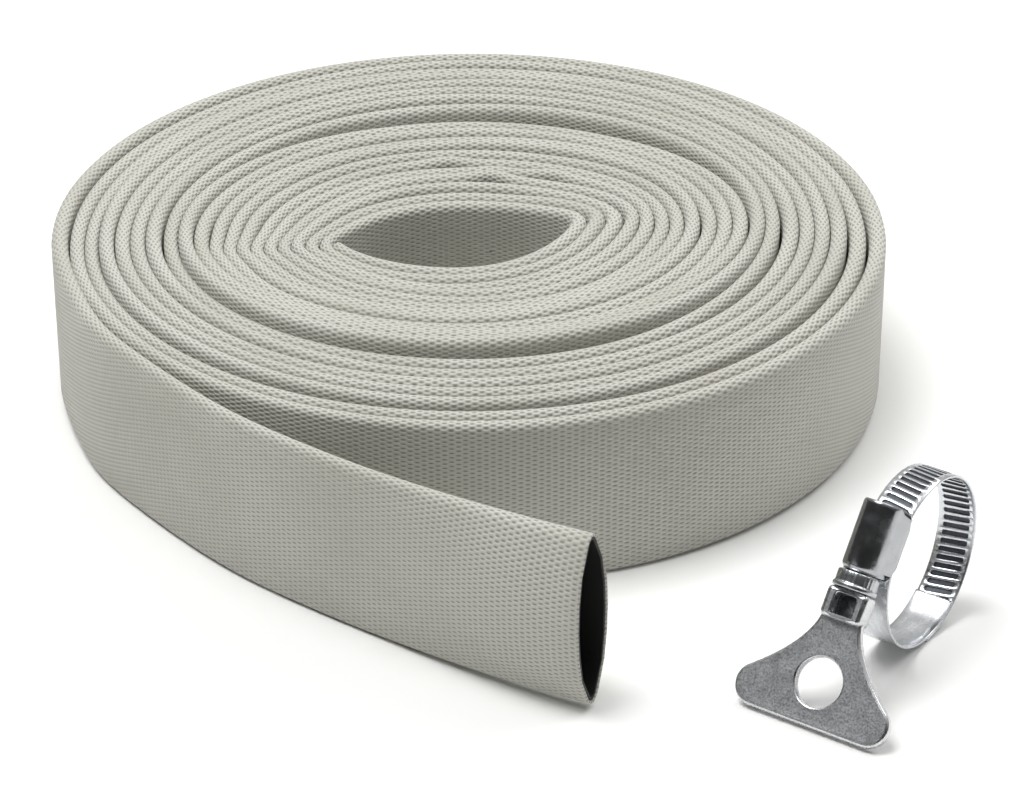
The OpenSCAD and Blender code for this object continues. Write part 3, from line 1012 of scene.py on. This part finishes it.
def rubbed_and_highlight_zinc_material(look):
    """The same sheet's edges, rubbed in the tumbler: smoother and lightly scratched, and paler, partly from
    rubbing and partly as a painted highlight.
    """
    material, tree, shader = new_material("rubbed_zinc_edges_painted_highlight", {"Metallic": 1.0})
    place = add_node(tree, "ShaderNodeTexCoord")
    rub = add_node(
        tree, "ShaderNodeTexNoise",
        {"Vector": place.outputs["Object"], "Scale": 1 / (1.5 * MM), "Detail": 3.0},
    )
    gloss = add_node(
        tree, "ShaderNodeMapRange", {"Value": rub.outputs["Fac"], 1: 0.3, 2: 0.7, 3: 0.2, 4: 0.34},
    )
    tree.links.new(gloss.outputs[0], shader.inputs["Roughness"])
    dull = tuple(0.75 * part for part in look.rim)
    body = add_node(
        tree, "ShaderNodeMix", {0: rub.outputs["Fac"], MIX_A: rgba(look.rim), MIX_B: rgba(dull)},
        data_type="RGBA",
    )
    tree.links.new(body.outputs[MIX_OUT], shader.inputs["Base Color"])
    return material


def use_material(made, *materials):
    """Gives a piece its materials, in the order of its faces' indexes."""
    indexes = np.zeros(len(made.data.polygons), np.int32)
    made.data.polygons.foreach_get("material_index", indexes)
    made.data.materials.clear()
    for material in materials:
        made.data.materials.append(material)
    made.data.polygons.foreach_set("material_index", indexes)


# ---------------------------------------------------------------- operators


class BuildCamera(bpy.types.Operator):
    """Sets the camera that looks down on the roll, past the open end and the clamp."""

    bl_idname = "fire_hose.camera"
    bl_label = "Camera"

    def execute(self, context):
        look = context.scene.fire_hose_stage
        aim = Vector((0.0128, 0.0021, -0.0072))
        flat = math.cos(look.elevation)
        east, south = math.sin(look.azimuth), math.cos(look.azimuth)
        back = Vector((east * flat, -south * flat, math.sin(look.elevation)))
        camera = bpy.data.objects.new("camera", bpy.data.cameras.new("camera"))
        context.scene.collection.objects.link(camera)
        camera.location = aim + back * look.distance
        camera.rotation_mode = "QUATERNION"
        camera.rotation_quaternion = (-back).to_track_quat("-Z", "Y")
        camera.data.lens = look.lens
        camera.data.sensor_width = 36
        camera.data.clip_start = 0.02
        context.scene.camera = camera
        return {"FINISHED"}


class BuildHose(bpy.types.Operator):
    """Builds the woven jacket along all the turns and the led-out end, and the lining in its mouth."""

    bl_idname = "fire_hose.hose"
    bl_label = "Hose"

    def execute(self, context):
        sizes, look = context.scene.fire_hose_sizes, context.scene.fire_hose_weave
        path = hose_path(sizes)
        jacket = jacket_surface(sizes, look, path)
        use_material(jacket, woven_jacket_material(look))
        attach(jacket, "hose")
        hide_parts("hose_roll", "jacket_tail")
        lining = lining_surface(sizes, look, path)
        use_material(lining, rubber_lining_material())
        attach(lining, "hose")
        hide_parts("lining_tail")
        return {"FINISHED"}


class BuildClamp(bpy.types.Operator):
    """Builds the clamp: its plain strap, slotted run, housing, screw and wing key."""

    bl_idname = "fire_hose.clamp"
    bl_label = "Clamp"

    def execute(self, context):
        sizes, look = context.scene.fire_hose_clamp, context.scene.fire_hose_metal
        strap_out = sizes.bore + sizes.sheet
        rack_in = strap_out + sizes.gap
        rack_out = rack_in + sizes.sheet
        feed = SCREW_TURNS * sizes.pitch / rack_in
        strap_start = 3 * DEG - math.asin(sizes.housing / 2 / strap_out)
        strap_end = 163 * DEG
        rack_end = math.asin(sizes.housing / 2 / rack_out) - 4 * DEG
        rack_start = strap_end - feed - 364 * DEG
        collar = sizes.housing / 2 + 0.0003
        neck_at = collar + 0.005

        band_steel = plated_steel_material("rolled_zinc_plated_strip", look.band, 0.24, (0.35, 14, 3), 0.05)
        strap = merged("band_strap", [
            grid_part(band_strip(sizes.bore, sizes.band, sizes.sheet, strap_start, strap_end, 130)),
        ], [band_steel])
        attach(strap, "clamp")
        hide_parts("clamp_strap")

        # A thin sheet inside the band, seen through the slots, takes the same painted shade.
        floor_in = rack_in + sizes.sheet / 2 - 0.00011
        shaded_slot_floor = band_strip(
            floor_in, sizes.slot_long + 0.0008, 0.00022, rack_start + 2 * DEG, rack_end - 2 * DEG, 240,
        )
        rack = merged("band_rack", [
            slotted_strip(sizes, rack_in, rack_start, rack_end),
            grid_part(shaded_slot_floor, index=np.ones(239, int)),
        ], [band_steel, painted_slot_shade_material(look)])
        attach(rack, "band")
        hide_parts("clamp_rack")

        bore, inside = sizes.shank + 0.00015, sizes.cover - 0.00095
        washer = np.array([[0.0088, bore], [0.0088, inside], [0.0099, inside], [0.0099, bore]])
        far = np.array([[-0.0099, 0.0004], [-0.0099, inside], [-0.0088, inside], [-0.0088, 0.0004]])
        housing = merged("housing_shell", [
            grid_part(housing_shell(sizes, rack_out)),
            grid_part(turned(washer, sizes.screw_up), wrap_rows=True),
            grid_part(turned(far, sizes.screw_up), wrap_rows=True),
        ], [plated_steel_material("pressed_zinc_plated_sheet", look.housing, 0.2, (0.5, 9, 9), 0.06)])
        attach(housing, "clamp")
        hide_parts("housing_cover")

        screw = merged("threaded_screw", [grid_part(screw_surface(sizes, neck_at))], [
            plated_steel_material("turned_zinc_plated_steel", look.screw, 0.26, (0.12, 20, 1), 0.06),
        ])
        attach(screw, "screw")
        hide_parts("worm_screw")

        neck_wide, neck_long = 0.0127, 0.009
        outline = key_outline(sizes, neck_at + neck_long - 0.001, neck_wide)
        eye = np.array([0, 0.0125 - sizes.key_reach])
        spoke = outline - eye
        hole = eye + sizes.hole * spoke / np.linalg.norm(spoke, axis=1, keepdims=True)
        # The rims marked here take the paler zinc with the painted highlight.
        plate, rims = holed_plate(outline, hole, sizes.key_thick / 2, 0.0009, 0.0006, 0.00008)
        window = round_loop(0.0064, 0.0064, 0.0011) + [0, -neck_at - 0.0048]
        sides = round_loop(neck_wide, neck_long, 0.0016) + [0, -neck_at - neck_long / 2]
        neck, neck_rims = holed_plate(sides, window, 0.0035, 0.0014, 0.0006, 0)
        back = round_loop(0.0070, 0.0070, 0.0011) + [0, -neck_at - 0.0048]
        back_rows = np.stack([
            np.concatenate([back, np.full((len(back), 1), up)], -1) for up in (-0.0031, -0.0024)
        ])
        parts = []
        for grid, marks, closed in ((plate, rims, True), (neck, neck_rims, True), (back_rows, 0, False)):
            grid = grid + [0, 0, sizes.screw_up]
            parts.append(grid_part(grid, wrap_rows=closed, index=marks))
        key = merged("stamped_wing_key", parts, [tumbled_zinc_material(look), rubbed_and_highlight_zinc_material(look)])
        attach(key, "screw")
        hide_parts("wing_key")
        return {"FINISHED"}


def area_light(name, place, aim, wide, tall, watts):
    """A soft rectangular lamp that faces its aim."""
    lamp = bpy.data.lights.new(name, "AREA")
    lamp.shape = "RECTANGLE"
    lamp.size, lamp.size_y, lamp.energy = wide, tall, watts
    made = bpy.data.objects.new(name, lamp)
    made.location = place
    made.rotation_mode = "QUATERNION"
    made.rotation_quaternion = (Vector(aim) - Vector(place)).to_track_quat("-Z", "Y")
    bpy.context.scene.collection.objects.link(made)


class BuildStage(bpy.types.Operator):
    """Lays the pale floor and sets the soft studio light."""

    bl_idname = "fire_hose.stage"
    bl_label = "Stage"

    def execute(self, context):
        look = context.scene.fire_hose_stage
        half = 6.0
        corners = [(-half, -half, 0), (half, -half, 0), (half, half, 0), (-half, half, 0)]
        floor = mesh_object("studio_floor", corners, [[0, 1, 2, 3]], smooth=False)
        material, _, _ = new_material("matt_white_floor", {"Base Color": rgba(look.floor), "Roughness": 0.9})
        use_material(floor, material)
        area_light("key_light", (-0.4, -0.3, 1.75), (0, 0, 0), 1.0, 1.0, 26)
        area_light("fill_light", (-0.9, -1.7, 0.7), (0, -0.05, 0), 1.2, 0.6, 1.0)
        area_light("back_light", (0.5, 1.2, 1.5), (0, 0, 0), 1.6, 0.8, 15)
        world = bpy.data.worlds.new("studio")
        world.use_nodes = True
        tree = world.node_tree
        way = add_node(tree, "ShaderNodeTexCoord")
        parts = add_node(tree, "ShaderNodeSeparateXYZ", {0: way.outputs["Generated"]})
        height = add_node(
            tree, "ShaderNodeMath", {0: parts.outputs["Y"], 1: 0.8, 2: parts.outputs["Z"]},
            operation="MULTIPLY_ADD",
        )
        sky = add_node(
            tree, "ShaderNodeMapRange", {"Value": height.outputs[0], 1: 0.05, 2: 0.95, 3: 0.04, 4: 0.62},
            interpolation_type="SMOOTHSTEP",
        )
        tree.nodes["Background"].inputs["Color"].default_value = rgba(linear("f1f1f0"))
        tree.links.new(sky.outputs[0], tree.nodes["Background"].inputs["Strength"])
        context.scene.world = world
        context.scene.view_settings.view_transform = "Standard"
        return {"FINISHED"}


class FireHosePanel(bpy.types.Panel):
    """Lists the pieces that can be built."""

    bl_idname = "VIEW3D_PT_fire_hose"
    bl_label = "Fire Hose"
    bl_space_type = "VIEW_3D"
    bl_region_type = "UI"
    bl_category = "Fire Hose"

    def draw(self, context):
        for operator in (BuildCamera, BuildHose, BuildClamp, BuildStage):
            self.layout.operator(operator.bl_idname)


GROUPS = {
    "fire_hose_sizes": HoseSizes,
    "fire_hose_weave": WeaveLook,
    "fire_hose_clamp": ClampSizes,
    "fire_hose_metal": ClampLook,
    "fire_hose_stage": StageLook,
}
OTHERS = (BuildCamera, BuildHose, BuildClamp, BuildStage, FireHosePanel)


def register():
    """Registers the classes and hangs the settings on the scene."""
    for name, group in GROUPS.items():
        bpy.utils.register_class(group)
        setattr(bpy.types.Scene, name, bpy.props.PointerProperty(type=group))
    for other in OTHERS:
        bpy.utils.register_class(other)


def unregister():
    """Takes away what register() added."""
    for other in reversed(OTHERS):
        bpy.utils.unregister_class(other)
    for name, group in GROUPS.items():
        delattr(bpy.types.Scene, name)
        bpy.utils.unregister_class(group)


def main():
    """Builds everything in order."""
    register()
    bpy.ops.fire_hose.camera()
    bpy.ops.fire_hose.hose()
    bpy.ops.fire_hose.clamp()
    bpy.ops.fire_hose.stage()


if __name__ == "__main__":
    main()
